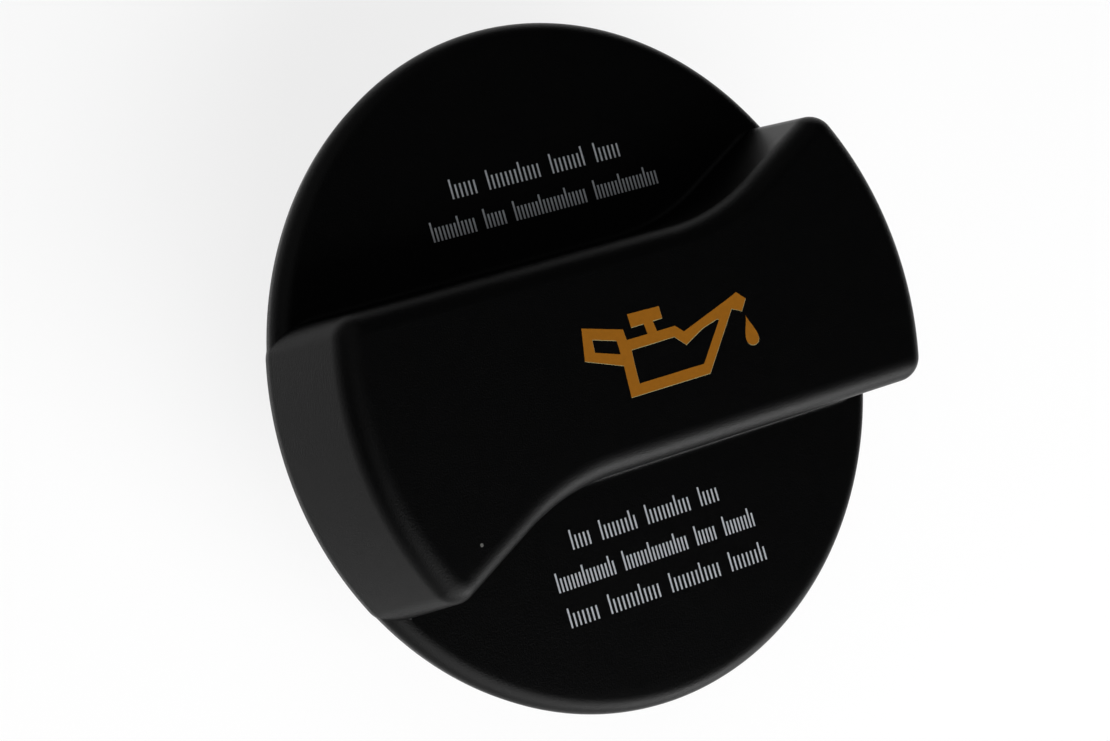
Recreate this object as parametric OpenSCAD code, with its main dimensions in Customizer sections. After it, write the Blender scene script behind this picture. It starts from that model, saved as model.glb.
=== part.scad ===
/* [Disc] */
// Diameter of the disc, at the lower edge of its rim
disc_d = 80; // [74:1:96]
// Height of the rim, from its lower edge to the face of the disc
rim_h = 3.2; // [2.8:0.1:4.5]
// Radius that rounds the upper edge of the rim
rim_round_r = 1.8; // [0.8:0.1:2.2]
// How far the rim leans out between its lower edge and the rounding
rim_lean = 0.3; // [0:0.05:0.6]
// Width of the rim where it hangs below the underside of the disc
rim_w = 2.3; // [1.6:0.1:3]
// Thickness of the disc
plate_t = 2.2; // [1.6:0.1:2.6]

/* [Grip] */
// Height of the grip above the face of the disc
grip_h = 12.9; // [11:0.1:18]
// Width between the two straight walls of the grip, at the face of the disc
grip_w = 25.9; // [23:0.1:29]
// How far the ends of the grip stand proud of the rim
grip_proud = 0.15; // [0.1:0.05:0.4]
// Draft of the grip's long walls, in degrees
side_draft = 2.5; // [1:0.5:5]
// Draft of the grip's two ends, in degrees
end_draft = 5.5; // [3:0.5:7]
// Radius that rounds the upper edge of the grip
grip_edge_r = 2.6; // [1.4:0.1:3.2]
// Radius of the grip's four upright corners, at the face of the disc
grip_corner_r = 3.5; // [2.5:0.1:6]
// Angle at which the wall of the grip flares out to two of its corners
flare_angle = 27; // [20:1:32]
// Distance from the axis to where the flare would leave the straight wall
flare_x = 14.9; // [10:0.1:18]
// Radius of the bend into the flare
flare_bend_r = 27.5; // [10:0.5:36]
// Thickness of the grip's walls and roof
grip_wall = 2.4; // [1.8:0.1:3]
// Distance between the cross ribs in the hollow of the grip
rib_pitch = 9; // [8:0.25:10.5]
// Thickness of a cross rib
rib_t = 1.6; // [1:0.1:2.4]
// How far the lower edges of the ribs stay above the flange of the neck
rib_set_back = 0.6; // [0.2:0.1:2]

/* [Neck] */
// Outer diameter of the neck
neck_d = 38; // [32:0.5:44]
// Length of the neck below its flange
neck_l = 20.9; // [17:0.1:30]
// Wall thickness of the neck
neck_wall = 2.2; // [1.6:0.1:3]
// Diameter of the flange that closes the neck
flange_d = 54; // [50:1:62]
// Thickness of the flange
flange_t = 2; // [1.6:0.1:3]
// Height of the two posts that stand up from the flange into the grip
post_h = 8; // [5:0.5:9.5]
// Wall thickness of a post
post_wall = 1.8; // [1.2:0.1:2.4]
// Clearance between a post and the walls and ribs round it
post_gap = 0.2; // [0.1:0.05:0.4]
// Number of gussets at the root of the neck
gusset_count = 8; // [4:1:12]
// Width of a gusset along the flange, and its height down the neck
gusset_w = 3.6; // [2:0.2:5]
// Thickness of a gusset
gusset_t = 1.5; // [1:0.1:2]

/* [Bayonet] */
// How far the two lugs stand out of the neck
lug_out = 3.8; // [2.5:0.1:4.5]
// Angle that each lug covers, in degrees
lug_sweep = 62; // [40:1:90]
// Thickness of a lug where its ramp begins
lug_t = 3.4; // [2.5:0.1:5]
// Height that the ramp climbs along the lug
lug_rise = 1.6; // [0.5:0.1:2.5]
// How far the lead-in drops below the ramp at the front of a lug
lead_drop = 1.4; // [0.5:0.1:2]
// Angle that the lead-in covers, in degrees
lead_sweep = 14; // [8:1:24]
// Height of the lugs' lower faces above the end of the neck
lug_z = 2.4; // [1:0.1:4]
// Angle that the flat top of the stop behind each lug covers, in degrees
stop_sweep = 8; // [5:1:14]
// Angle that the front of the stop takes to climb, in degrees
stop_lean = 1.5; // [1:0.5:4]
// Height of the stop above the end of the ramp
stop_h = 3.2; // [2:0.1:5]

/* [Seal] */
// Outer diameter of the sealing ring
seal_d = 51; // [47:0.5:54]
// Thickness of the sealing ring
seal_t = 3.2; // [2:0.1:5]
// Clearance between the sealing ring and the neck
seal_gap = 0.15; // [0.1:0.05:0.4]
// Depth of the groove between the two lips of the sealing ring
seal_groove = 0.9; // [0.4:0.1:1.4]
// Radius of the bead on the neck that keeps the sealing ring on
bead_r = 0.6; // [0.4:0.1:0.9]

/* [Hidden] */
$fn = 96;

// Segments of the bend, of an upright corner, of an end, of the rounded upper edge and of a lug
bend_n = 8;
corner_n = 9;
end_n = 18;
edge_n = 7;
lug_n = 12;
// Smallest radius that an upright corner is left with where the outline is set in
corner_min = 0.3;
// How far a cut runs past the face that it opens
cut = 1;

// Heights above the end of the neck
flange_low = neck_l;
flange_top = flange_low + flange_t;
face_z = flange_top + plate_t;
rim_z = face_z - rim_h;
round_z = face_z - rim_round_r;
top_z = face_z + grip_h;
roof_z = top_z - grip_wall;

disc_r = disc_d / 2;
neck_r = neck_d / 2;
flange_r = flange_d / 2;
seal_r = seal_d / 2;
rim_r = disc_r + rim_lean;
// Radius of the grip's ends at the face of the disc
grip_r = rim_r + grip_proud - rim_round_r * tan(end_draft);

// Points on an arc of radius r about c, from angle a to angle b
function arc(c, r, a, b, n) =
    [for (i = [0:n]) let (t = a + (b - a) * i / n) c + r * [cos(t), sin(t)]];

// The points without their first and last
function inner(points) = [for (i = [1:len(points) - 2]) points[i]];

// How far a wall of draft a is set in at height z
function drafted(z, a) = (z - face_z) * tan(a);

// The same, with the upper edge rounded
function rounded(z, a) =
    let (
        centre_z = top_z - grip_edge_r,
        wall_z = centre_z + grip_edge_r * sin(a),
        centre_in = drafted(wall_z, a) + grip_edge_r * cos(a)
    )
    z < wall_z ? drafted(z, a) : centre_in - sqrt(max(0, pow(grip_edge_r, 2) - pow(z - centre_z, 2)));

// How far the inner face of that wall is set in
function wall_in(z, a) = drafted(z, a) + grip_wall / cos(a);

// Half of the grip's outline, its side set in by d and its end by e:
// the bend, the flare, a corner, the end and the next corner
function half_outline(d, e) =
    let (
        along = [cos(flare_angle), sin(flare_angle)],
        outward = [-sin(flare_angle), cos(flare_angle)],
        leave = [flare_x, grip_w / 2],
        bend_c = leave + flare_bend_r * [-tan(flare_angle / 2), 1],
        corner_r = max(grip_corner_r - d, corner_min),
        ring_r = grip_r - e - corner_r,
        start = leave - (d + corner_r) * outward,
        run = sqrt(pow(start * along, 2) - start * start + pow(ring_r, 2)) - start * along,
        flared_c = start + run * along,
        plain_y = d + corner_r - grip_w / 2,
        plain_c = [sqrt(pow(ring_r, 2) - pow(plain_y, 2)), plain_y],
        high = atan2(flared_c.y, flared_c.x),
        low = atan2(plain_c.y, plain_c.x)
    )
    concat(
        arc(bend_c, flare_bend_r + d, -90, flare_angle - 90, bend_n),
        arc(flared_c, corner_r, 90 + flare_angle, high, corner_n),
        inner(arc([0, 0], grip_r - e, high, low, end_n)),
        arc(plain_c, corner_r, low, -90, corner_n)
    );

// The whole outline, clockwise from above: the half and the same half turned by half a turn
function outline(d, e) = let (h = half_outline(d, e)) concat(h, [for (p = h) -p]);

// Solid carried through levels, each a height and how far the sides and the ends are set in there
module outline_loft(levels) {
    rings = [for (l = levels) [for (p = outline(l[1], l[2])) [p.x, p.y, l[0]]]];
    n = len(rings[0]);
    half = n / 2;
    last = len(levels) - 1;
    hub = [grip_r * 0.6, 0];
    hubs = [for (j = [0, last]) for (s = [1, -1]) [s * hub.x, hub.y, levels[j][0]]];
    base = n * len(levels);
    sides = [for (j = [0:last - 1]) for (i = [0:n - 1])
        let (k = (i + 1) % n, a = j * n, b = a + n)
        for (t = [[a + i, a + k, b + k], [a + i, b + k, b + i]]) t];
    // Each flat end is two fans, one about a hub in each half, and the six-sided middle between them
    fans = [for (e = [0, 1]) for (s = [0, 1]) for (i = [0:half - 2])
        let (o = e * last * n + s * half + i, h = base + 2 * e + s)
        e == 0 ? [h, o + 1, o] : [h, o, o + 1]];
    middles = [for (e = [0, 1])
        let (o = e * last * n, h = base + 2 * e, six = [o, h, o + half - 1, o + half, h + 1, o + n - 1])
        for (i = [1:4]) e == 0 ? [six[0], six[i + 1], six[i]] : [six[0], six[i], six[i + 1]]];
    polyhedron([for (r = rings) each r, each hubs], concat(sides, fans, middles));
}

// Disc with its rim leaning out to the rounded upper edge
module disc() {
    rotate_extrude()
        union() {
            polygon([
                [0, rim_z], [disc_r, rim_z], [rim_r, round_z],
                [rim_r - rim_round_r, round_z], [rim_r - rim_round_r, face_z], [0, face_z]
            ]);
            intersection() {
                translate([rim_r - rim_round_r, round_z]) circle(rim_round_r);
                translate([rim_r - rim_round_r, round_z]) square(rim_round_r);
            }
        }
}

// Outside of the grip, from the lower edge of the rim to its rounded upper edge
module grip() {
    below = [drafted(round_z, side_draft), drafted(round_z, end_draft)];
    rounding = [for (i = [0:edge_n])
        let (z = top_z - grip_edge_r * (1 - sin(side_draft + (90 - side_draft) * i / edge_n)))
        [z, rounded(z, side_draft), rounded(z, end_draft)]];
    outline_loft(concat(
        [[rim_z, below[0] + rim_lean, below[1] + rim_lean], [round_z, below[0], below[1]]], rounding));
}

// Hollow of the grip, open below, with the cross ribs left standing in it
module hollow() {
    difference() {
        outline_loft([for (z = [rim_z - cut, roof_z])
            [z, wall_in(z, side_draft), wall_in(z, end_draft)]]);
        for (k = [-3.5:1:3.5])
            translate([k * rib_pitch - rib_t / 2, -disc_r, flange_top + rib_set_back])
                cube([rib_t, disc_d, grip_h + plate_t]);
    }
}

module cap_shell() {
    color([0.05, 0.05, 0.055])
        difference() {
            union() {
                disc();
                grip();
            }
            hollow();
            translate([0, 0, rim_z - cut]) cylinder(h = face_z - plate_t - rim_z + cut, r = disc_r - rim_w);
        }
}

// Hollow post that fills one bay between two ribs of the grip
module post() {
    top = flange_top + post_h;
    x = rib_pitch - rib_t - 2 * post_gap;
    y = grip_w - 2 * (wall_in(top, side_draft) + post_gap);
    difference() {
        translate([-x / 2, -y / 2, flange_low + flange_t / 2])
            cube([x, y, top - flange_low - flange_t / 2]);
        translate([post_wall - x / 2, post_wall - y / 2, flange_top])
            cube([x - 2 * post_wall, y - 2 * post_wall, post_h + cut]);
    }
}

// Three-cornered rib between the inside of the neck and the underside of the flange
module gusset() {
    inside = neck_r - neck_wall;
    rotate([90, 0, 0])
        linear_extrude(gusset_t, center = true)
            polygon([
                [inside - gusset_w, flange_low + flange_t / 2], [inside - gusset_w, flange_low],
                [inside, flange_low - gusset_w], [inside + neck_wall / 2, flange_low - gusset_w],
                [inside + neck_wall / 2, flange_low + flange_t / 2]
            ]);
}

// Height of a lug's upper face at angle a from its front
function ramp_z(a) = lug_z + lug_t - lead_drop * max(0, 1 - a / lead_sweep) + lug_rise * a / lug_sweep;

// Lug on the neck: a ring sector whose upper face is a lead-in, then a climbing ramp and last the stop
module lug() {
    root = neck_r - neck_wall / 2;
    tip = neck_r + lug_out;
    stop_a = lug_sweep + stop_lean;
    stop_z = ramp_z(lug_sweep) + stop_h;
    ramp = concat([0, lead_sweep / 2], [for (i = [0:lug_n]) lead_sweep + (lug_sweep - lead_sweep) * i / lug_n]);
    stations = concat([for (a = ramp) [a, ramp_z(a)]], [for (i = [0:2]) [stop_a + stop_sweep * i / 2, stop_z]]);
    corners = [for (s = stations) for (p = [[root, lug_z], [tip, lug_z], [tip, s[1]], [root, s[1]]])
        [p.x * cos(s[0]), p.x * sin(s[0]), p.y]];
    last = 4 * (len(stations) - 1);
    sides = [for (j = [0:4:last - 4]) for (i = [0:3])
        let (a = j + i, b = j + (i + 1) % 4)
        for (t = [[a, b, b + 4], [a, b + 4, a + 4]]) t];
    polyhedron(corners, concat(
        sides, [[0, 2, 1], [0, 3, 2], [last, last + 1, last + 2], [last, last + 2, last + 3]]));
}

module bayonet_neck() {
    color([0.07, 0.07, 0.075])
        union() {
            rotate_extrude()
                polygon([
                    [0, flange_low], [neck_r - neck_wall, flange_low], [neck_r - neck_wall, 0],
                    [neck_r, 0], [neck_r, flange_low], [flange_r, flange_low], [flange_r, flange_top], [0, flange_top]
                ]);
            rotate_extrude()
                intersection() {
                    translate([neck_r, flange_low - seal_t - seal_gap - bead_r]) circle(bead_r);
                    translate([neck_r - neck_wall / 2, 0]) square([neck_wall, flange_low]);
                }
            for (s = [-1, 1]) translate([s * rib_pitch, 0, 0]) post();
            for (i = [0:gusset_count - 1]) rotate([0, 0, (i + 0.5) * 360 / gusset_count]) gusset();
            for (a = [0, 180]) rotate([0, 0, a]) lug();
        }
}

// Rubber ring with two lips below and a groove between them
module seal_ring() {
    low = flange_low - seal_t;
    hole_r = neck_r + seal_gap;
    lip = (seal_r - hole_r) / 4;
    color([0.03, 0.03, 0.03])
        rotate_extrude()
            polygon([
                [hole_r, flange_low], [hole_r, low + seal_groove], [hole_r + lip / 2, low],
                [hole_r + lip, low], [hole_r + 1.5 * lip, low + seal_groove],
                [seal_r - 1.5 * lip, low + seal_groove], [seal_r - lip, low], [seal_r - lip / 2, low],
                [seal_r, low + seal_groove], [seal_r, flange_low]
            ]);
}

cap_shell();
bayonet_neck();
seal_ring();
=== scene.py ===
import math

import bmesh
import bpy
import numpy as np
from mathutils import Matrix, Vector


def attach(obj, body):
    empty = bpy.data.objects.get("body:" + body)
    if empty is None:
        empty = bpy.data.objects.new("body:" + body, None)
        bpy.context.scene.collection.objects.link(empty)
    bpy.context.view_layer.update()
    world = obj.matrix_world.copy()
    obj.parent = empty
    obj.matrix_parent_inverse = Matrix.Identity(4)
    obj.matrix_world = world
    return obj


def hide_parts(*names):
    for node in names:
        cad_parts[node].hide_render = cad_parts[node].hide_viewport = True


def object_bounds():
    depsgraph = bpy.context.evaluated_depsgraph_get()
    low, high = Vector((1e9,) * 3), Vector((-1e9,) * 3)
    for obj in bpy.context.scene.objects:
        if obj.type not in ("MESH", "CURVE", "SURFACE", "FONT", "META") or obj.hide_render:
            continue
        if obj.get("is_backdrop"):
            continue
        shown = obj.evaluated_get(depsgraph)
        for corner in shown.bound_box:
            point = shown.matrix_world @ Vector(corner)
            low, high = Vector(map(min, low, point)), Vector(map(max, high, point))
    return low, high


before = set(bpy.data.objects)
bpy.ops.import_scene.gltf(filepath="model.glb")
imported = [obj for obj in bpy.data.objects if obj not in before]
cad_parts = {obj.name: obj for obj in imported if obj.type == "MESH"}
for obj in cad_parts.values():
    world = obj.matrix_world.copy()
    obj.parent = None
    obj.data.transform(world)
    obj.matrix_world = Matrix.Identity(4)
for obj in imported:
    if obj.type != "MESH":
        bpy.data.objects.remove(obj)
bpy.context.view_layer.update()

# Camera
# The photograph's point of view: a long lens, high over the near end of the grip,
# with the camera rolled so that the grip climbs to the right.
LENS = 104.82            # mm, on a sensor 36 mm wide
DISTANCE = 0.375         # m, from the centre of the rim's lower edge, along the line of sight
OFF_UPRIGHT = math.radians(33.03)
AZIMUTH = math.radians(-1.75)
ROLL = math.radians(14.585)
AIM = (-0.002339, 0.000096)   # m, how far the lens looks to the right of and above it, before the roll
RIM_LOW = 0.0219         # m, height of the rim's lower edge

vertical = np.array([0, 0, 1])
heading = np.array([math.cos(AZIMUTH), math.sin(AZIMUTH), 0])
away = math.cos(OFF_UPRIGHT) * vertical - math.sin(OFF_UPRIGHT) * heading
across = math.sin(OFF_UPRIGHT) * vertical + math.cos(OFF_UPRIGHT) * heading
upward = np.cross(away, across)
right = across * math.cos(ROLL) - upward * math.sin(ROLL)
top = across * math.sin(ROLL) + upward * math.cos(ROLL)
stand = RIM_LOW * vertical + DISTANCE * away + AIM[0] * across + AIM[1] * upward

lens = bpy.data.cameras.new("photo_camera")
lens.lens, lens.sensor_width = LENS, 36
lens.clip_start, lens.clip_end = 0.01, 20
camera = bpy.data.objects.new("photo_camera", lens)
camera.matrix_world = [[*column, 0] for column in (right, top, away)] + [[*stand, 1]]
bpy.context.scene.collection.objects.link(camera)
bpy.context.scene.camera = camera

# Cap shell
# One injection moulding in black plastic with a fine spark-eroded grain: a disc with a lipped rim and, right
# across it, a Z-shaped grip, hollow and open below, with cross ribs inside and a small fillet along its foot.
MM = 0.001               # m; the sizes of the pieces are in millimetres
FACE_Z, TOP_Z = 25.1, 38.0
RIM_Z, ROUND_Z = 21.9, 23.3
ROUND_R, DISC_R, RIM_LEAN = 1.8, 40.0, 0.3
RIM_R = DISC_R + RIM_LEAN
FLAT_R = RIM_R - ROUND_R
LIP_ROUND = 0.25         # rounding of the rim's lower edge
LIP_MIDDLE = 0.07        # how far the middle of that rounding lies in from the corner
END_PROUD = 0.15         # the grip's ends stand this far out of the rim
SIDE_DRAFT, END_DRAFT = math.radians(2.5), math.radians(5.5)
GRIP_R = RIM_R + END_PROUD - ROUND_R * math.tan(END_DRAFT)
HALF_W, EDGE_R, CORNER_R, CORNER_MIN = 12.95, 2.6, 3.5, 0.3
FLARE, FLARE_X, BEND_R = math.radians(27), 14.9, 27.5
FOOT_R, FOOT_FADE = 0.6, 2.5
LIP_W, CEILING_Z, WALL, ROOF_Z, ROOF_ROUND = 2.3, 22.9, 2.4, 35.6, 0.8
HOLLOW_MIDDLE_Z = 29.0
HOLLOW_GAP = 0.5         # the hollow's ends stop this far inside the rim's inner wall
RIB_PITCH, RIB_T, RIB_LOW_Z = 9.0, 1.6, 23.5
RIB_IN_WALL, RIB_IN_ROOF = 0.8, 0.5
HOLD = 0.12              # distance of the rows that keep a flat face flat beside a rounding


def direction(angle):
    """Unit vector at an angle: its cosine and its sine."""
    return np.stack([np.cos(angle), np.sin(angle)], -1)


def outline(q, side, end):
    """Point of the grip's outline. q runs clockwise, seen from above, through six stretches of length 1:
    bend, flare, flared corner, end, plain corner and straight wall, and then through the same six turned by
    half a turn. side and end are how far the walls are set in. An arc is its centre plus its radius in a
    direction, and a line joins the arcs on its two sides."""
    q, side, end = np.broadcast_arrays(q, side, end)
    q = q % 12.0
    turned = np.where(q < 6, 1.0, -1.0)[..., None]
    stretch, t = np.floor(q % 6).astype(int), (q % 1)[..., None]
    along, outward = direction(FLARE), direction(FLARE + math.pi / 2)
    leave = np.array([FLARE_X, HALF_W])
    bend_c = leave + BEND_R * np.array([-math.tan(FLARE / 2), 1])
    corner = np.maximum(CORNER_R - side, CORNER_MIN)
    ring = GRIP_R - end - corner
    start = leave - (side + corner)[..., None] * outward
    ahead = start @ along
    run = np.sqrt(ahead ** 2 - (start ** 2).sum(-1) + ring ** 2) - ahead
    flared_c = start + run[..., None] * along
    plain_y = side + corner - HALF_W
    plain_c = np.stack([np.sqrt(ring ** 2 - plain_y ** 2), plain_y], -1)
    high = np.arctan2(flared_c[..., 1], flared_c[..., 0])[..., None]
    low = np.arctan2(plain_c[..., 1], plain_c[..., 0])[..., None]

    def arc(centre, radius, a, b):
        return centre + radius[..., None] * direction((a + (b - a) * t)[..., 0])

    def line(a, b):
        return a + (b - a) * t

    down, flare_a = -math.pi / 2, FLARE - math.pi / 2
    bend_from = bend_c + (BEND_R + side)[..., None] * direction(down)
    bend_to = bend_c + (BEND_R + side)[..., None] * direction(flare_a)
    stretches = [
        arc(bend_c, BEND_R + side, down, flare_a),
        line(bend_to, flared_c + corner[..., None] * outward),
        arc(flared_c, corner, FLARE - down, high),
        arc(np.zeros(2), GRIP_R - end, high, low),
        arc(plain_c, corner, low, down),
        line(plain_c + corner[..., None] * direction(down), -bend_from),
    ]
    return turned * np.choose(stretch[..., None], stretches)


def inset(z, draft):
    """How far a drafted wall is set in at height z: the height above the disc times the draft's tangent,
    and near the top the circle that rounds the edge."""
    centre_z = TOP_Z - EDGE_R
    wall_z = centre_z + EDGE_R * math.sin(draft)
    centre_in = (wall_z - FACE_Z) * math.tan(draft) + EDGE_R * math.cos(draft)
    rounding = centre_in - np.sqrt(np.maximum(0, EDGE_R ** 2 - (z - centre_z) ** 2))
    return np.where(z < wall_z, (z - FACE_Z) * math.tan(draft), rounding)


def raised(points, z):
    """The plane points with height z added as a third coordinate."""
    return np.concatenate([points, np.broadcast_to(np.asarray(z, float), points.shape[:-1])[..., None]], -1)


def turned_copy(points):
    """The points turned by half a turn about the axis."""
    return points * np.array([-1, -1, 1])


def crossing(radius, z, side, end, low, high, growing):
    """Place q between low and high where the outline at each height crosses the rim's radius there, by
    halving."""
    low, high = np.full_like(z, low), np.full_like(z, high)
    for _ in range(50):
        middle = (low + high) / 2
        outside = (np.linalg.norm(outline(middle, side, end), axis=-1) > radius) == growing
        low, high = np.where(outside, low, middle), np.where(outside, middle, high)
    return (low + high) / 2


def grid_faces(rows, columns, first):
    """Corner numbers of the quads between neighbouring rows and columns of a grid of points."""
    a = first + (np.arange(rows - 1)[:, None] * columns + np.arange(columns - 1)).reshape(-1)
    return np.stack([a, a + 1, a + columns + 1, a + columns], -1)


def solid_from(name, grids, smooth_below=math.radians(32)):
    """Mesh object from grids of points in millimetres: each grid's quads, with points that coincide merged,
    faces turned outwards and edges sharper than the given angle left hard."""
    points = np.concatenate([g.reshape(-1, 3) for g in grids]) * MM
    firsts = np.cumsum([0] + [g.shape[0] * g.shape[1] for g in grids[:-1]])
    quads = np.concatenate([grid_faces(g.shape[0], g.shape[1], f) for g, f in zip(grids, firsts)])
    mesh = bpy.data.meshes.new(name)
    mesh.from_pydata(points, [], quads)
    work = bmesh.new()
    work.from_mesh(mesh)
    bmesh.ops.remove_doubles(work, verts=work.verts, dist=2e-6)
    bmesh.ops.dissolve_degenerate(work, edges=work.edges, dist=1e-7)
    bmesh.ops.recalc_face_normals(work, faces=work.faces)
    work.to_mesh(mesh)
    work.free()
    mesh.shade_smooth()
    mesh.set_sharp_from_angle(angle=smooth_below)
    piece = bpy.data.objects.new(name, mesh)
    bpy.context.scene.collection.objects.link(piece)
    return piece


# The rim's profile, from the flat of the disc round its edge and down to its lower face
quarter = np.linspace(math.pi / 2, 0, 10)
lip = np.linspace(0, math.pi / 2, 4)
rim_z = np.concatenate([
    ROUND_Z + ROUND_R * np.sin(quarter),
    [RIM_Z + LIP_ROUND + HOLD],
    RIM_Z + LIP_ROUND * (1 - np.sin(lip)),
])
lean = RIM_LEAN * np.clip((ROUND_Z - rim_z) / (ROUND_Z - RIM_Z), 0, 1)
lip_in = np.concatenate([np.zeros(len(quarter) + 1), LIP_ROUND * (1 - np.cos(lip))])
upright_radius = np.concatenate([FLAT_R + ROUND_R * np.cos(quarter), np.full(len(lip) + 1, RIM_R)])
rim_radius = upright_radius - lean - lip_in
below = np.maximum(rim_z, ROUND_Z)
rim_side = (below - FACE_Z) * math.tan(SIDE_DRAFT) + lean + lip_in
rim_end = (below - FACE_Z) * math.tan(END_DRAFT) + lean + lip_in

# Where the grip's corners cross that profile, and the stations along the sides and the ends
flared_q = np.maximum.accumulate(crossing(rim_radius, rim_z, rim_side, rim_end, 1.5, 3.0, True))
plain_q = np.minimum.accumulate(crossing(rim_radius, rim_z, rim_side, rim_end, 4.0, 5.5, False))
dense = np.linspace(plain_q[0] - 6, flared_q[0], 4000)
dense_x = outline(dense, 0, 0)[:, 0]
even = np.linspace(math.acos(dense_x[0] / FLAT_R), math.acos(dense_x[-1] / FLAT_R), 110)
round_rim = np.interp(FLAT_R * np.cos(even), dense_x, dense)
bends = np.concatenate([np.linspace(dense[0], -1, 9), np.linspace(0, 1, 15), np.linspace(2, dense[-1], 9)])
side_q = np.unique(np.round(np.concatenate([round_rim[1:-1], bends]), 5))
between = (side_q > dense[0] + 1e-3) & (side_q < dense[-1] - 1e-3)
side_q = np.concatenate([[dense[0]], side_q[between], [dense[-1]]])
end_q = np.concatenate([
    flared_q,
    np.linspace(flared_q[-1], 3, 6)[1:],
    np.linspace(3, 4, 44)[1:-1],
    np.linspace(4, plain_q[-1], 6)[:-1],
    plain_q[::-1],
])

# The foot's fillet fades out where the foot comes to the rim
foot_r = np.clip((FLAT_R - np.linalg.norm(outline(side_q, 0, 0), axis=-1)) / FOOT_FADE, 0, 1)
foot_r = FOOT_R * foot_r ** 2 * (3 - 2 * foot_r)
foot_r[[0, -1]] = 0
foot_top = FACE_Z + foot_r * (1 - math.sin(SIDE_DRAFT))


def lid(loop):
    """Flat surface that fills a loop which is two like halves: straight lines from one half to the other,
    reversed."""
    half = (len(loop) - 1) // 2
    return np.stack([loop[:half], loop[half:-1][::-1]])


# Top, rounded edge and walls, carried all round the grip
loop_q = np.concatenate([side_q, end_q[1:-1]])
loop_low = np.concatenate([foot_top, np.full(len(end_q) - 2, FACE_Z)])
loop_q = np.concatenate([loop_q, loop_q + 6, loop_q[:1]])
loop_low = np.concatenate([loop_low, loop_low, loop_low[:1]])
edge_z = TOP_Z - EDGE_R * (1 - np.sin(np.linspace(math.pi / 2, SIDE_DRAFT, 13)))
wall_share = np.array([0.01, 0.1, 0.35, 0.65, 0.9, 0.98, 1.0])[:, None]
wall_rows = edge_z[-1] + (loop_low - edge_z[-1]) * wall_share
shoulder_z = np.concatenate([np.broadcast_to(edge_z[:, None], (len(edge_z), len(loop_q))), wall_rows])
shoulder = raised(outline(loop_q, inset(shoulder_z, SIDE_DRAFT), inset(shoulder_z, END_DRAFT)), shoulder_z)
hold_row = raised(outline(loop_q, inset(TOP_Z, SIDE_DRAFT) + HOLD, inset(TOP_Z, END_DRAFT) + HOLD), TOP_Z)
upper = np.concatenate([hold_row[None], shoulder])

# Foot fillet and the flat of the disc beside the grip
sweep = np.linspace(SIDE_DRAFT, math.pi / 2, 7)[1:, None]
outset = foot_r * (1 / math.cos(SIDE_DRAFT) - math.tan(SIDE_DRAFT) - np.cos(sweep))
fillet = raised(outline(side_q, -outset, -outset), FACE_Z + foot_r * (1 - np.sin(sweep)))
foot = fillet[-1, :, :2]
edge_angle = np.arccos(np.clip(foot[:, 0] / FLAT_R, -1, 1))
flat_edge = FLAT_R * direction(edge_angle)
flat_share = np.array([0.015, 0.1, 0.3, 0.55, 0.8, 0.95, 1.0])[:, None, None]
flat = raised(foot + (flat_edge - foot) * flat_share, FACE_Z)
beside = np.concatenate([upper[-1:, :len(side_q)], fillet, flat])

# The rim between the two corners of the grip that stand on it
width = (edge_angle - edge_angle[0]) / (edge_angle[-1] - edge_angle[0])
plain_p = -outline(plain_q, rim_side, rim_end)
flared_p = outline(flared_q, rim_side, rim_end)
from_a = np.arctan2(plain_p[:, 1], plain_p[:, 0])[:, None]
to_a = np.arctan2(flared_p[:, 1], flared_p[:, 0])[:, None]
rim = raised(rim_radius[:, None, None] * direction(from_a + (to_a - from_a) * width), rim_z[:, None])
rim[:, 0, :2], rim[:, -1, :2] = plain_p, flared_p

# The grip's end wall below the face of the disc, down to the rim's lower face
last = len(rim_z) - 1
levels = np.arange(last + 1)
reach = np.concatenate([levels, np.full(len(end_q) - 2 * len(levels), last), levels[::-1]])
row = np.minimum(levels[:, None], reach)
end_wall = raised(outline(end_q, rim_side[row], rim_end[row]), rim_z[row])

# Lower face of the rim, its inner wall, the ceiling, and the hollow up to its roof
lower_edge = np.concatenate([rim[-1, :-1], end_wall[-1, last:-last - 1]])
lower_edge = np.concatenate([lower_edge, turned_copy(lower_edge), lower_edge[:1]])
hollow_q = np.concatenate([side_q[:-1], end_q[last:-last - 1]])
hollow_q = np.concatenate([hollow_q, hollow_q + 6, hollow_q[:1]])
spoke = direction(np.arctan2(lower_edge[:, 1], lower_edge[:, 0]))
inner_r = DISC_R - LIP_W
inner_profile = [
    (inner_r + LIP_ROUND, RIM_Z),
    (inner_r + LIP_MIDDLE, RIM_Z + LIP_MIDDLE),
    (inner_r, RIM_Z + LIP_ROUND),
    (inner_r, CEILING_Z),
]
inner_wall = [raised(r * spoke, z) for r, z in inner_profile]


def hollow_row(z, extra=0.0):
    """Inner outline of the grip's wall at height z: the outer one, set in by the wall's thickness."""
    side = (z - FACE_Z) * math.tan(SIDE_DRAFT) + WALL / math.cos(SIDE_DRAFT) + extra
    end = GRIP_R - (inner_r - HOLLOW_GAP) + (z - CEILING_Z) * math.tan(END_DRAFT) + extra
    return raised(outline(hollow_q, side, end), z)


roof_edge = [hollow_row(ROOF_Z - ROOF_ROUND * (1 - math.sin(a)), ROOF_ROUND * (1 - math.cos(a)))
             for a in np.linspace(0, math.pi / 2, 5)]
hollow_rows = [hollow_row(z) for z in (CEILING_Z, CEILING_Z + HOLD, HOLLOW_MIDDLE_Z)] + roof_edge
underside = np.stack([lower_edge] + inner_wall + hollow_rows)


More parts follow.
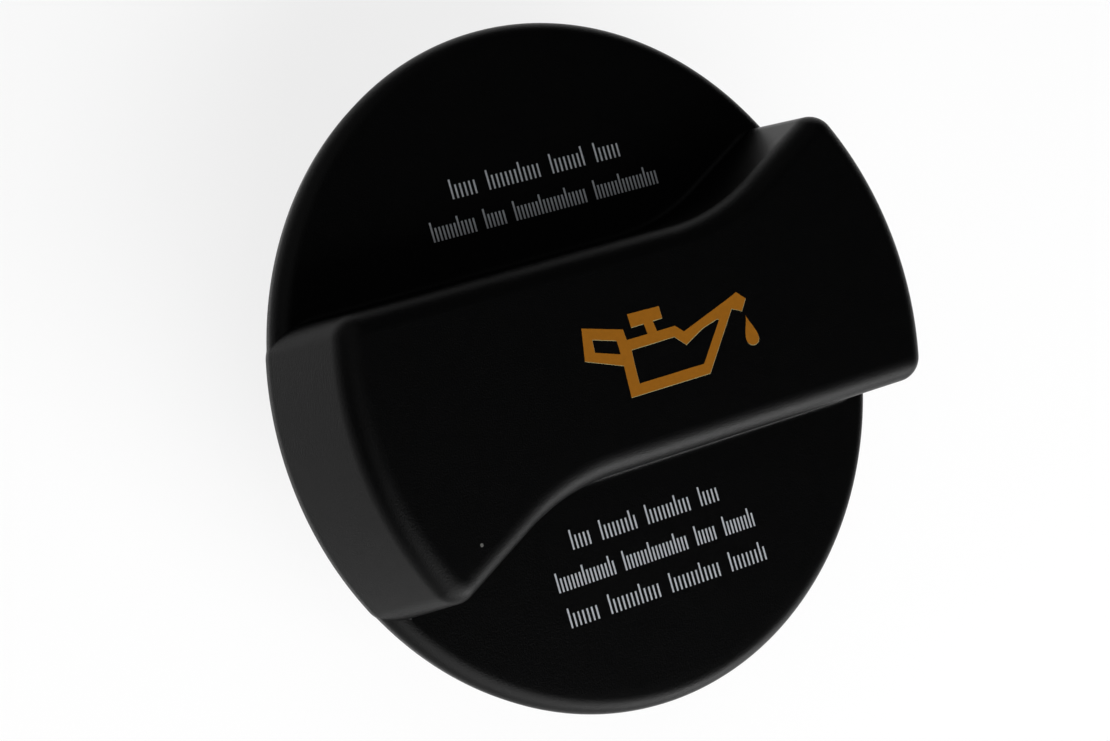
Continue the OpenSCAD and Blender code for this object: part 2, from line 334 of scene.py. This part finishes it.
def box_grid(low, high):
    """Closed box as a grid: a rectangle carried up from its lower to its upper height, with both ends drawn
    to a point."""
    (x0, y0, z0), (x1, y1, z1) = low, high
    ring = np.array([[x0, y0, z0], [x1, y0, z0], [x1, y1, z0], [x0, y1, z0], [x0, y0, z0]])
    lift = np.array([0, 0, z1 - z0])
    middle = np.broadcast_to(ring[:-1].mean(0), ring.shape)
    return np.stack([middle, ring, ring + lift, middle + lift])


def rib_grid(x):
    """Cross rib at x: a box from wall to wall of the hollow, bedded a little into the walls and the roof."""
    wall = hollow_row(RIB_LOW_Z)
    upper_wall = wall[wall[:, 1] > 0]
    order = np.argsort(upper_wall[:, 0])
    high_y = np.interp(x, upper_wall[order, 0], upper_wall[order, 1]) + RIB_IN_WALL
    low_y = -np.interp(-x, upper_wall[order, 0], upper_wall[order, 1]) - RIB_IN_WALL
    return box_grid((x - RIB_T / 2, low_y, RIB_LOW_Z), (x + RIB_T / 2, high_y, ROOF_Z + RIB_IN_ROOF))


ribs = [rib_grid(k * RIB_PITCH) for k in np.arange(-3.5, 4)]
halves = [g for half in (beside, rim, end_wall) for g in (half, turned_copy(half))]
whole_rounds = [lid(hold_row), upper, underside, lid(roof_edge[-1])]
cap_shell = solid_from("cap_moulding", whole_rounds + halves + ribs)


class Wire:
    """A shader socket to write sums with: each operator adds its Math node."""

    def __init__(self, finish, socket):
        self.finish, self.socket = finish, socket

    def math(self, operation, *values):
        return self.finish.node("ShaderNodeMath", {"operation": operation}, dict(enumerate(values)))

    def __add__(self, other):
        return self.math("ADD", self, other)

    def __radd__(self, other):
        return self.math("ADD", other, self)

    def __sub__(self, other):
        return self.math("SUBTRACT", self, other)

    def __rsub__(self, other):
        return self.math("SUBTRACT", other, self)

    def __mul__(self, other):
        return self.math("MULTIPLY", self, other)

    def __rmul__(self, other):
        return self.math("MULTIPLY", other, self)

    def __lt__(self, other):
        return self.math("LESS_THAN", self, other)

    def __gt__(self, other):
        return self.math("GREATER_THAN", self, other)


class Finish:
    """A material made node by node, with one Principled surface."""

    def __init__(self, name):
        self.material = bpy.data.materials.new(name)
        self.material.use_nodes = True
        self.tree = self.material.node_tree
        self.surface = self.tree.nodes["Principled BSDF"]

    def node(self, kind, settings=None, sockets=None, out=0):
        """Adds a node of this kind, sets its settings, then its sockets to values or links; returns its
        output."""
        made = self.tree.nodes.new(kind)
        for key, value in (settings or {}).items():
            setattr(made, key, value)
        for key, value in (sockets or {}).items():
            self.join(made.inputs[key], value)
        return Wire(self, made.outputs[out])

    def join(self, socket, value):
        if isinstance(value, Wire):
            self.tree.links.new(value.socket, socket)
        else:
            socket.default_value = value

    def noise(self, scale, detail=2.0, roughness=0.5):
        """Noise on the piece's own coordinates; scale is in waves per metre."""
        place = self.node("ShaderNodeTexCoord", out="Object")
        wave = {"Scale": scale, "Detail": detail, "Roughness": roughness}
        return self.node("ShaderNodeTexNoise", None, {"Vector": place, **wave})

    def mix(self, amount, a, b):
        """Colour between a and b by an amount from 0 to 1."""
        return self.node("ShaderNodeMix", {"data_type": "RGBA"}, {0: amount, 6: a, 7: b}, out=2)

    def bump(self, height, distance, strength=1.0):
        """Surface normal of a height in units of the given distance in metres."""
        relief = {"Height": height, "Distance": distance, "Strength": strength}
        return self.node("ShaderNodeBump", None, relief)

    def put(self, piece, **surface):
        """Sets the surface's sockets, named with underscores, and gives the piece this material."""
        for key, value in surface.items():
            self.join(self.surface.inputs[key.replace("_", " ")], value)
        piece.data.materials.clear()
        piece.data.materials.append(self.material)


SHELL_BLACK = (0.0006, 0.00065, 0.0007, 1)
SHELL_DUST = (0.19, 0.19, 0.18, 1)
shell_finish = Finish("grained_black_plastic")
grain = shell_finish.noise(5000, 3.0, 0.7)
mottle = shell_finish.noise(450, 2.0)
place = shell_finish.node("ShaderNodeTexCoord", out="Object")
from_speck = shell_finish.node("ShaderNodeTexVoronoi", {"feature": "F1"}, {"Vector": place, "Scale": 97.0})
dust_here = shell_finish.noise(60, 0.0)
dusty = (from_speck < (dust_here - 0.58) * 0.28) * 0.55
shell_finish.put(
    cap_shell,
    Base_Color=shell_finish.mix(dusty, SHELL_BLACK, SHELL_DUST),
    Roughness=0.25 + 0.06 * mottle + 0.08 * grain,
    IOR=1.18,
    Normal=shell_finish.bump(grain, 0.00005, 1.0),
)
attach(cap_shell, "root")
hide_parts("cap_shell")

# Oil can print
# The common symbol of an oil can with a drop, pad-printed on the grip as two very thin skins: a pale base
# and, over it, opaque amber ink a little out of register, so that the base shows as a fine line below it.
INK_T = 0.03
INK_STEP = 0.003         # overlapping patches lie at slightly different heights
BASE_SHIFT = (0.02, -0.06)
CAN_OUTER = [(-4.5, -4.83), (-4.3, -1.2), (-3.0, 1.45), (3.85, 1.45), (4.85, 0.55), (8.5, 1.65),
             (12.2, 2.75), (12.1, 1.5), (6.75, -4.83)]
CAN_INNER = [(-2.95, -3.6), (-2.85, -1.2), (-2.75, 0.25), (3.35, 0.3), (4.65, -0.95), (7.45, 0.3),
             (9.7, 0.83), (10.0, 0.7), (6.3, -3.6)]
HANDLE_OUTER = [(-8.4, 4.1), (-3.1, 2.7), (-3.0, 1.45), (-4.3, -1.2), (-9.15, 0.5)]
HANDLE_INNER = [(-7.45, 2.58), (-4.35, 1.72), (-4.3, 1.0), (-4.3, 0.12), (-7.55, 1.1)]
SPOUT_TIP = [(12.0, 2.7), (13.35, 3.15), (14.4, 2.15), (13.4, 0.9), (12.1, 1.5)]
KNOB = [(-2.0, 4.2), (2.45, 4.1), (2.45, 2.7), (-1.95, 2.65)]
KNOB_STEM = [(-0.2, 2.75), (1.1, 2.75), (1.3, 1.3), (0.0, 1.3)]
DROP_AT, DROP_HALF_W, DROP_HALF_L, DROP_LEAN = (13.8, -1.45), 0.9, 1.75, -0.05


def closed(path):
    """The path with its first point repeated at its end."""
    return np.concatenate([path, path[..., :1, :]], -2)


def ink_ring(outer, inner, z):
    """Ring of ink between two outlines with as many corners: a thin rectangle carried round from corner to
    corner."""
    outer, inner = closed(outer), closed(inner)
    lower, upper = z, z + INK_T
    rows = [(outer, lower), (outer, upper), (inner, upper), (inner, lower), (outer, lower)]
    return np.stack([raised(path, height) for path, height in rows])


def ink_patch(corners, z):
    """Filled patch of ink: its outline carried up by the ink's thickness, with both faces drawn to the
    middle."""
    ring = closed(corners)
    middle = np.broadcast_to(ring[:-1].mean(0), ring.shape)
    rows = [(middle, z), (ring, z), (ring, z + INK_T), (middle, z + INK_T)]
    return np.stack([raised(path, height) for path, height in rows])


def oil_can(shift, z):
    """The symbol's patches, moved by a shift and laid at height z. The drop's half width is sine times one
    minus cosine, which grows from its point to its round end and is 1.3 at most."""
    turn = np.linspace(0, 2 * math.pi, 33)[:-1]
    drop = np.array(DROP_AT) + np.stack([
        DROP_HALF_W * np.sin(turn) * (1 - np.cos(turn)) / 1.3 + DROP_LEAN * np.cos(turn),
        DROP_HALF_L * np.cos(turn)], -1)
    can_out, can_in, handle_out, handle_in, tip, knob, stem, drop = (
        np.array(shape) + shift
        for shape in (CAN_OUTER, CAN_INNER, HANDLE_OUTER, HANDLE_INNER, SPOUT_TIP, KNOB, KNOB_STEM, drop))
    return [
        ink_ring(can_out, can_in, z),
        ink_ring(handle_out, handle_in, z - INK_STEP),
        ink_patch(tip, z - INK_STEP),
        ink_patch(knob, z),
        ink_patch(stem, z - 2 * INK_STEP),
        ink_patch(drop, z),
    ]


can_print = solid_from("oil_can_print", oil_can((0, 0), TOP_Z))
amber = Finish("amber_ink")
amber.put(
    can_print,
    Base_Color=amber.mix(amber.noise(1500, 3.0, 0.6), (0.21, 0.075, 0.001, 1), (0.27, 0.097, 0.002, 1)),
    Roughness=0.5,
    IOR=1.3,
)
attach(can_print, "root")

can_base = solid_from("oil_can_base", oil_can(BASE_SHIFT, TOP_Z - 4 * INK_STEP))
base_ink = Finish("pale_base_ink")
base_ink.put(
    can_base,
    Base_Color=base_ink.mix(base_ink.noise(900, 2.0), (0.20, 0.19, 0.09, 1), (0.36, 0.33, 0.17, 1)),
    Roughness=0.5,
    IOR=1.3,
)
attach(can_base, "root")

# Pale print
# Rows of plain upright marks in groups on the disc, two rows above the grip and three below it.
# Pad-printed in the same way in pale grey ink.
MARK_ROWS = [                    # first and last x, the line they stand on, and how many to each group
    (-11.7, 12.2, 22.1, (6, 12, 8, 6)),
    (-15.7, 16.4, 17.9, (12, 6, 20, 18)),
    (-9.2, 12.2, -19.9, (5, 9, 11, 5)),
    (-12.6, 16.2, -24.1, (16, 18, 6, 9)),
    (-12.3, 16.5, -28.3, (7, 12, 12, 9)),
]
MARK_W, MARK_H, LONG_MARK_H = 0.23, 1.6, 2.3
LONG_EVERY = 7


def mark_row(x0, x1, y, groups):
    """Row of upright marks from x0 to x1 standing on the line at y: equal steps, with two left out between
    groups, and the first mark of a group and every seventh one after it longer."""
    steps = np.concatenate([np.arange(n) + sum(groups[:i]) + 2 * i for i, n in enumerate(groups)])
    order = np.concatenate([np.arange(n) for n in groups])
    places = x0 + (x1 - x0 - MARK_W) * steps / steps[-1]
    heights = np.where(order % LONG_EVERY == 0, LONG_MARK_H, MARK_H)
    return [ink_patch(np.array([(x, y), (x + MARK_W, y), (x + MARK_W, y + h), (x, y + h)]), FACE_Z)
            for x, h in zip(places, heights)]


pale_marks = solid_from("pale_print", [mark for row_ends in MARK_ROWS for mark in mark_row(*row_ends)])
pale = Finish("pale_ink")
pale.put(
    pale_marks,
    Base_Color=pale.mix(pale.noise(1500, 3.0, 0.6), (0.31, 0.33, 0.355, 1), (0.43, 0.45, 0.475, 1)),
    Roughness=0.5,
    IOR=1.3,
)
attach(pale_marks, "root")

# Neck
# The insert below the disc: a flange, two posts, and a neck with two ramped lugs that turn under the filler's
# ledges. A plain black injection moulding with eased edges, welded to the shell; gussets stiffen its root.
NECK_R, NECK_WALL, FLANGE_R, FLANGE_LOW, FLANGE_TOP = 19.0, 2.2, 27.0, 20.9, 22.9
BEAD_R, BEAD_Z = 0.6, 16.95
LUG_LOW, LUG_TIP, LUG_EASE = 2.4, 22.8, 0.45
LUG_TOP = [(0.0, 4.4), (14.0, 6.16), (62.0, 7.4), (63.5, 10.6), (71.5, 10.6)]    # degrees, and height
GUSSETS, GUSSET_W, GUSSET_T, GUSSET_BEDDED = 8, 3.6, 1.5, 1
POST_X, POST_Y, POST_WALL, POST_TOP, POST_BEDDED = 7.0, 20.2, 1.8, 30.9, 1


def eased(points, cut, steps=4):
    """Closed path whose corners are each cut by a parabola: (1 - t)^2 start + 2 t (1 - t) corner + t^2 end,
    where start and end lie on the two sides at the given distance from the corner. A point just beyond each
    keeps the side flat. The cut is one distance or a column with one for each corner."""
    before, after = np.roll(points, 1, -2) - points, np.roll(points, -1, -2) - points
    before = before / np.linalg.norm(before, axis=-1, keepdims=True)
    after = after / np.linalg.norm(after, axis=-1, keepdims=True)
    start, end = (points + cut * before)[..., None, :], (points + cut * after)[..., None, :]
    t = np.linspace(0, 1, steps + 1)[:, None]
    curve = (1 - t) ** 2 * start + 2 * t * (1 - t) * points[..., None, :] + t ** 2 * end
    hold = np.where(np.asarray(cut) > 0, HOLD, 0)
    held = [(points + (cut + hold) * side)[..., None, :] for side in (before, after)]
    path = np.concatenate([held[0], curve, held[1]], -2)
    return path.reshape(*points.shape[:-2], -1, 2)


def revolved(profile, segments=144):
    """Profile of radius and height carried round the axis: each radius times the unit circle."""
    spokes = direction(np.linspace(0, 2 * math.pi, segments + 1))
    return raised(profile[:, None, :1] * spokes, profile[:, 1:])


def box_ring(x, y, ease):
    """Rectangle of the given size about the axis, with eased corners."""
    return closed(eased(np.array([[x, y], [-x, y], [-x, -y], [x, -y]]) / 2, ease))


bead = np.array([NECK_R, BEAD_Z]) + BEAD_R * direction(np.linspace(-math.pi / 2, math.pi / 2, 9))
inside = NECK_R - NECK_WALL
corners = np.array([[0, FLANGE_LOW], [inside, FLANGE_LOW], [inside, 0], [NECK_R, 0], *bead,
                    [NECK_R, FLANGE_LOW], [FLANGE_R, FLANGE_LOW], [FLANGE_R, FLANGE_TOP], [0, FLANGE_TOP]])
cuts = np.array([0, 0.6, 0.4, 0.6] + [0] * len(bead) + [0, 0.3, 0.3, 0])[:, None]
neck_grids = [revolved(eased(corners, cuts))]

# A lug's section is carried round the neck under its top line, and drawn in at both ends by a quarter circle
lug_top = np.array(LUG_TOP) * [math.radians(1) * NECK_R, 1]
stretches = np.concatenate([lug_top, [[lug_top[-1, 0] + 5, 0], [lug_top[0, 0] - 5, 0]]])
line = eased(stretches, np.array([0, 0.8, 0.25, 0.4, 0, 0, 0])[:, None])
line = line[(line[:, 1] > 3) & (line[:, 0] > -1e-6) & (line[:, 0] < lug_top[-1, 0] + 1e-6)]
quarter = np.linspace(0, math.pi / 2, 5)
front, back = line[0, 0], line[-1, 0]
end_steps = LUG_EASE * (1 - np.cos(quarter))
even_steps = np.linspace(front, back, 40)
along = np.unique(np.concatenate([front + end_steps, back - end_steps, line[:, 0], even_steps]))
at_end = np.minimum(along - front, back - along)
inward = LUG_EASE - np.sqrt(np.maximum(0, LUG_EASE ** 2 - np.maximum(0, LUG_EASE - at_end) ** 2))
top_z = np.interp(along, line[:, 0], line[:, 1]) - inward
root, tip, low = np.full_like(along, NECK_R - NECK_WALL / 2), LUG_TIP - inward, LUG_LOW + inward
section = np.stack([np.stack(pair, -1) for pair in ((root, low), (tip, low), (tip, top_z), (root, top_z))], 1)
section = closed(eased(section, np.array([0, LUG_EASE, LUG_EASE, 0])[:, None]))
section_middle = section.mean(1, keepdims=True) + 0 * section
section = np.concatenate([section_middle[:1], section, section_middle[-1:]])
lug_angle = np.concatenate([along[:1], along, along[-1:]]) / NECK_R
lug = raised(section[..., :1] * direction(lug_angle)[:, None], section[..., 1])
neck_grids += [lug, turned_copy(lug)]

gusset_foot, gusset_low = inside - GUSSET_W, FLANGE_LOW - GUSSET_W
gusset_back, gusset_top = inside + GUSSET_BEDDED, FLANGE_LOW + GUSSET_BEDDED
gusset_side = closed(np.array([[gusset_foot, gusset_top], [gusset_foot, FLANGE_LOW], [inside, gusset_low],
                               [gusset_back, gusset_low], [gusset_back, gusset_top]]))
gusset_mid = np.broadcast_to(gusset_side[:-1].mean(0), gusset_side.shape)
for k in range(GUSSETS):
    out = direction((k + 0.5) * 2 * math.pi / GUSSETS)
    sideways = GUSSET_T / 2 * np.array([-out[1], out[0]])
    faces = [(gusset_mid, -1), (gusset_side, -1), (gusset_side, 1), (gusset_mid, 1)]
    neck_grids.append(np.stack([raised(ring[:, :1] * out + s * sideways, ring[:, 1]) for ring, s in faces]))

post_out = box_ring(POST_X, POST_Y, 0.5)
post_in = box_ring(POST_X - 2 * POST_WALL, POST_Y - 2 * POST_WALL, 0.3)
post_low = FLANGE_TOP - POST_BEDDED
for x in (-RIB_PITCH, RIB_PITCH):
    rings = [(0 * post_out, post_low), (post_out, post_low), (post_out, POST_TOP), (post_in, POST_TOP),
             (post_in, FLANGE_TOP), (0 * post_in, FLANGE_TOP)]
    neck_grids.append(np.stack([raised(ring + np.array([x, 0]), z) for ring, z in rings]))

neck = solid_from("neck_moulding", neck_grids)
neck_finish = Finish("smooth_black_plastic")
neck_finish.put(
    neck,
    Base_Color=(0.0085, 0.0085, 0.009, 1),
    Roughness=0.30 + 0.12 * neck_finish.noise(600, 2.0),
    IOR=1.35,
    Normal=neck_finish.bump(neck_finish.noise(2500, 2.0), 0.00002, 0.3),
)
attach(neck, "root")
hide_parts("bayonet_neck")

# Sealing ring
# The ring that seals the cap on the filler's mouth, with two soft lips below and a groove between them.
# Moulded in black rubber, stretched over the bead of the neck and held against the flange.
SEAL_IN, SEAL_OUT, SEAL_LOW, LIP_Z, SEAL_EASE = 19.15, 25.5, 17.7, 18.6, 0.32
lip_w = (SEAL_OUT - SEAL_IN) / 4
seal_profile = eased(np.array([
    [SEAL_IN, FLANGE_LOW], [SEAL_IN, LIP_Z], [SEAL_IN + lip_w / 2, SEAL_LOW], [SEAL_IN + lip_w, SEAL_LOW],
    [SEAL_IN + 1.5 * lip_w, LIP_Z], [SEAL_OUT - 1.5 * lip_w, LIP_Z], [SEAL_OUT - lip_w, SEAL_LOW],
    [SEAL_OUT - lip_w / 2, SEAL_LOW], [SEAL_OUT, LIP_Z], [SEAL_OUT, FLANGE_LOW]]), SEAL_EASE)
seal = solid_from("sealing_ring", [revolved(closed(seal_profile))])
rubber = Finish("dull_rubber")
rubber.put(
    seal,
    Base_Color=rubber.mix(rubber.noise(900, 2.0), (0.008, 0.008, 0.008, 1), (0.016, 0.016, 0.016, 1)),
    Roughness=0.62 + 0.15 * rubber.noise(400, 2.0),
    Normal=rubber.bump(rubber.noise(5000, 2.0), 0.00002, 0.5),
)
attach(seal, "root")
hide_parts("seal_ring")

# Floor
# A wide white table top that the cap stands on, as in a product photograph. Its colour and its glow grey with
# distance from the cap, as painted shade for the unlit room beyond the lamps, which the cap's edges reflect;
# it is clear from below, so that the underside can be looked at.
FLOOR_R, INNER_FLOOR_R, FLOOR_GLOW = 3.0, 0.2, 0.8
# The grey is painted shade: the far floor darkened to stand for the unlit room beyond the lamps.
FLOOR_WHITE, FLOOR_PAINTED_SHADE = (0.93, 0.93, 0.93, 1), (0.16, 0.16, 0.16, 1)
WHITE_TO, SHADE_FROM = 0.12, 0.60
spokes = np.linspace(0, 2 * math.pi, 65)
floor_rings = np.stack([raised(r * direction(spokes), 0.0) for r in (0.0, INNER_FLOOR_R, FLOOR_R)])
floor_mesh = bpy.data.meshes.new("floor")
floor_mesh.from_pydata(floor_rings.reshape(-1, 3), [], grid_faces(3, len(spokes), 0)[:, ::-1])
floor = bpy.data.objects.new("floor", floor_mesh)
bpy.context.scene.collection.objects.link(floor)
table_top = Finish("white_table")
rays = table_top.node("ShaderNodeLightPath").socket.node.outputs
by_camera, by_gloss, through_glass = (
    Wire(table_top, rays[kind]) for kind in ("Is Camera Ray", "Is Glossy Ray", "Is Transmission Ray"))
seen = by_camera + by_gloss + through_glass
floor_place = table_top.node("ShaderNodeTexCoord", out="Object")
far = table_top.node("ShaderNodeVectorMath", {"operation": "LENGTH"}, {0: floor_place}, out="Value")
# Painted shade: the floor's colour goes from white to grey with distance from the cap.
painted_falloff = table_top.node("ShaderNodeMapRange", {"interpolation_type": "SMOOTHSTEP"},
                        {"Value": far, "From Min": WHITE_TO, "From Max": SHADE_FROM})
table_top.put(
    floor,
    Base_Color=table_top.mix(painted_falloff, FLOOR_WHITE, FLOOR_PAINTED_SHADE),
    Roughness=0.8,
    Specular_IOR_Level=0.0,
)
# Painted shade in the glow too: it greys with distance from the cap in the same way.
glow_with_painted_falloff = table_top.mix(painted_falloff, (1, 1, 1, 1), FLOOR_PAINTED_SHADE)
glow = table_top.node("ShaderNodeEmission", None, {"Color": glow_with_painted_falloff, "Strength": 1.0})
painted = Wire(table_top, table_top.surface.outputs[0])
lit = table_top.node("ShaderNodeMixShader", None, {0: (seen > 0.5) * FLOOR_GLOW, 1: painted, 2: glow})
clear = table_top.node("ShaderNodeBsdfTransparent")
from_below = table_top.node("ShaderNodeNewGeometry", out="Backfacing")
table_top.join(table_top.tree.nodes["Material Output"].inputs["Surface"],
               table_top.node("ShaderNodeMixShader", None, {0: from_below, 1: lit, 2: clear}))
floor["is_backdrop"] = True

# Light
# A broad soft box in front, a large dim one behind on the left, a small low one in front on the right,
# and a dim room that is paler near the horizon in front.
SOFT_BOXES = {                   # place, power in watts and size
    "soft_box": ((-0.06, -0.80, 0.50), 19.0, 1.2),
    "fill_box": ((-0.40, 0.65, 0.75), 3.5, 1.6),
    "low_box": ((0.42, -0.57, 0.10), 3.3, 0.36),
}
ROOM_LOW, ROOM_HIGH = 0.3, 0.05
HORIZON_FADE, FRONT_FADE = (0.10, 0.30), (-0.6, 0.3)
for name, (at, power, size) in SOFT_BOXES.items():
    lamp = bpy.data.lights.new(name, "AREA")
    lamp.shape, lamp.size, lamp.energy = "SQUARE", size, power
    box = bpy.data.objects.new(name, lamp)
    back = np.array(at) / np.linalg.norm(at)
    side_axis = np.cross([0, 0, 1], back)
    side_axis /= np.linalg.norm(side_axis)
    box.matrix_world = [[*column, 0] for column in (side_axis, np.cross(back, side_axis), back)] + [[*at, 1]]
    bpy.context.scene.collection.objects.link(box)


class Room(Finish):
    """The world, made with the same calls as a material."""

    def __init__(self, name):
        self.material = bpy.data.worlds.new(name)
        self.material.use_nodes = True
        self.tree = self.material.node_tree
        self.surface = self.tree.nodes["Background"]


room = Room("room")
sky_way = room.node("ShaderNodeTexCoord", out="Generated")
height = room.node("ShaderNodeSeparateXYZ", None, {0: sky_way}, out="Z")
behind = room.node("ShaderNodeSeparateXYZ", None, {0: sky_way}, out="Y")
near_horizon, in_front = (
    room.node("ShaderNodeMapRange", {"interpolation_type": "SMOOTHSTEP"},
              {"Value": value, "From Min": fade[0], "From Max": fade[1], "To Min": 1.0, "To Max": 0.0})
    for value, fade in ((height, HORIZON_FADE), (behind, FRONT_FADE)))
room.join(room.surface.inputs["Color"], (1, 1, 1, 1))
room.join(room.surface.inputs["Strength"], ROOM_HIGH + ROOM_LOW * (near_horizon * in_front))
bpy.context.scene.world = room.material
bpy.context.scene.view_settings.view_transform = "Standard"

low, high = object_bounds()
